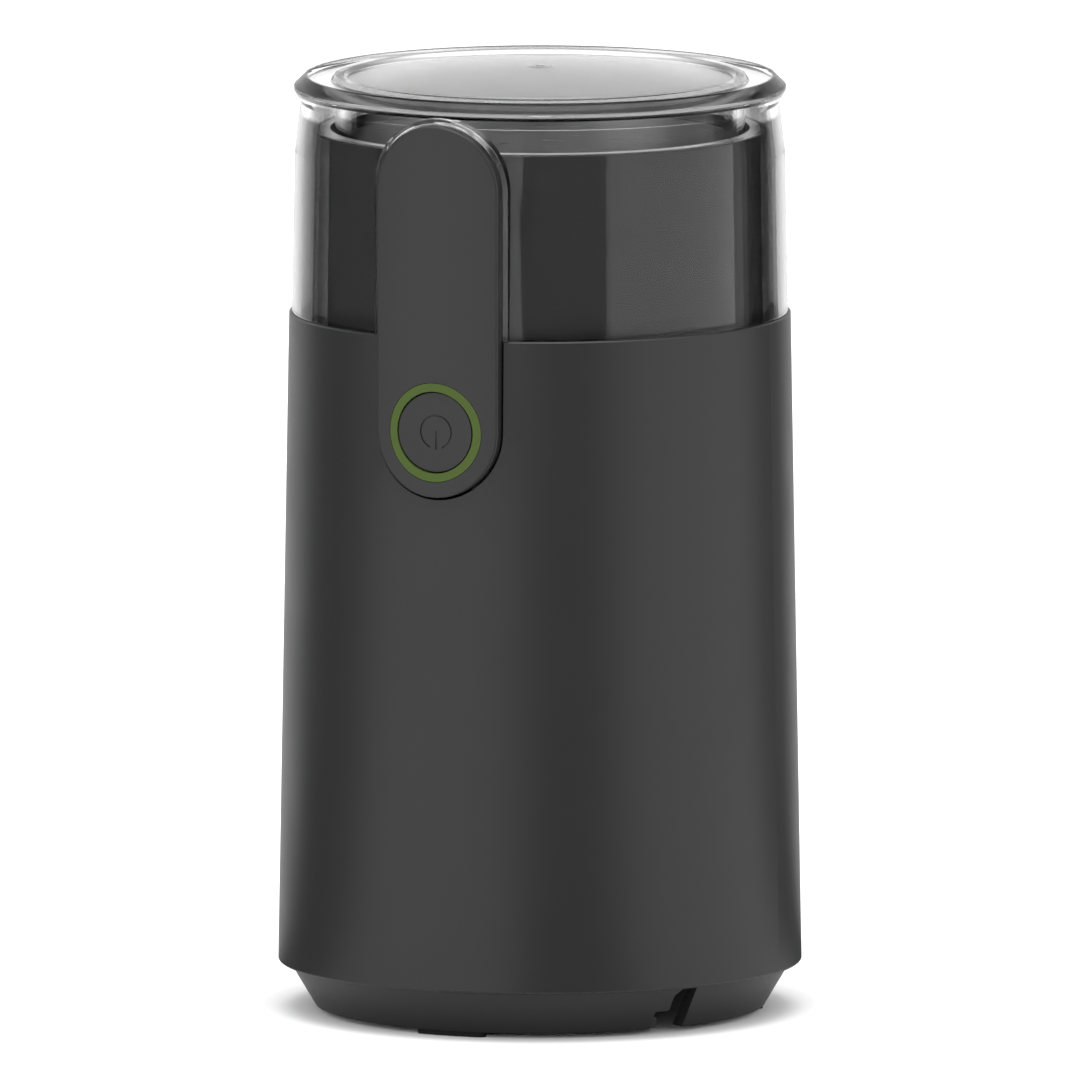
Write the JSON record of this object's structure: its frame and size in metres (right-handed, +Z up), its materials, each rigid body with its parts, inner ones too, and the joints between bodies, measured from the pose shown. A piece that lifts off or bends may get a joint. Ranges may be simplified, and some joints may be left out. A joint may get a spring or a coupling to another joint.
{
  "type": "electric coffee grinder",
  "caption": "Upright blade coffee grinder: tapered dark body, bowl collar under a clear lift-off lid, and a pill-shaped front panel with a lit push button.",
  "frame": {"origin": "on the body's axis, at the level of the feet's undersides", "axes": "+Z up along the body's axis, -Y to the front, where the switch panel is"},
  "size_m": [0.098, 0.098, 0.1776],
  "materials": {
    "black_abs": "fine matt moulded texture",
    "panel_abs": "smooth matt moulding",
    "chassis_abs": "semi-gloss moulding",
    "clear_san": "clear polished moulding",
    "green_guide": "translucent green light guide",
    "stainless": "spun and brushed stainless sheet",
    "blade_steel": "ground stainless",
    "shaft_steel": "ground steel",
    "zinc_steel": "zinc plated",
    "lamination": "varnished laminated steel",
    "copper": "enamelled copper wire",
    "bronze": "sintered bronze",
    "rubber_black": "matt moulded rubber",
    "carbon": "pressed carbon",
    "switch_pbt": "moulded switch case",
    "board_fr4": "circuit board with green solder mask",
    "inner_nylon": "natural grey nylon"
  },
  "bodies": {
    "housing": {"outer_housing": "black_abs", "bowl_chassis": "chassis_abs", "switch_panel": "panel_abs", "light_ring": "green_guide", "light_board": "board_fr4", "switch_carrier": "inner_nylon", "carrier_screws": "zinc_steel", "power_switch": "switch_pbt", "panel_screws": "zinc_steel", "button_spring": "shaft_steel", "grinding_bowl": "stainless", "bowl_gasket": "rubber_black", "shaft_seal": "rubber_black", "base_cover": "black_abs", "foot_1": "rubber_black", "foot_2": "rubber_black", "foot_3": "rubber_black", "cord_grommet": "rubber_black", "base_screws": "zinc_steel", "stator_core": "lamination", "field_coil_left": "copper", "field_coil_right": "copper", "upper_bearing_bridge": "zinc_steel", "lower_bearing_bridge": "zinc_steel", "upper_bearing": "bronze", "lower_bearing": "bronze", "motor_bolts": "zinc_steel", "brush_holder_left": "inner_nylon", "brush_holder_right": "inner_nylon", "carbon_brush_left": "carbon", "carbon_brush_right": "carbon", "brush_spring_left": "shaft_steel", "brush_spring_right": "shaft_steel", "motor_dampers": "rubber_black", "motor_mount_screws": "zinc_steel", "motor_cushion": "rubber_black", "interlock_switch": "switch_pbt", "interlock_spring": "shaft_steel"},
    "lid": {"lid_cover": "clear_san"},
    "rotor": {"motor_shaft": "shaft_steel", "armature_core": "lamination", "armature_windings": "copper", "commutator": "copper", "thrust_washers": "bronze", "blade_hub": "blade_steel", "grinding_blade": "blade_steel", "blade_cap": "blade_steel"},
    "button": {"push_button": "panel_abs", "power_switch_plunger": "inner_nylon"},
    "interlock": {"interlock_slider": "inner_nylon", "interlock_plunger": "inner_nylon"}
  },
  "joints": [
    {"name": "lid_lift", "type": "slide", "parent": "housing", "child": "lid", "axis": [0, 0, 1], "range_m": [0, 0.075]},
    {"name": "blade_spin", "type": "hinge", "parent": "housing", "child": "rotor", "pos_m": [0, 0, 0.1], "axis": [0, 0, 1], "continuous": true},
    {"name": "button_press", "type": "slide", "parent": "housing", "child": "button", "axis": [0, 1, 0], "range_m": [0, 0.0015], "stiffness_N_per_m": 800, "springref_m": -0.002, "deforming": ["button_spring"]},
    {"name": "interlock_rise", "type": "slide", "parent": "housing", "child": "interlock", "axis": [0, 0, 1], "range_m": [0, 0.0025], "deforming": ["interlock_spring"]}
  ],
  "couplings": [
    {"joint": "interlock_rise", "follows": "lid_lift", "ratio": 0.0333}
  ]
}
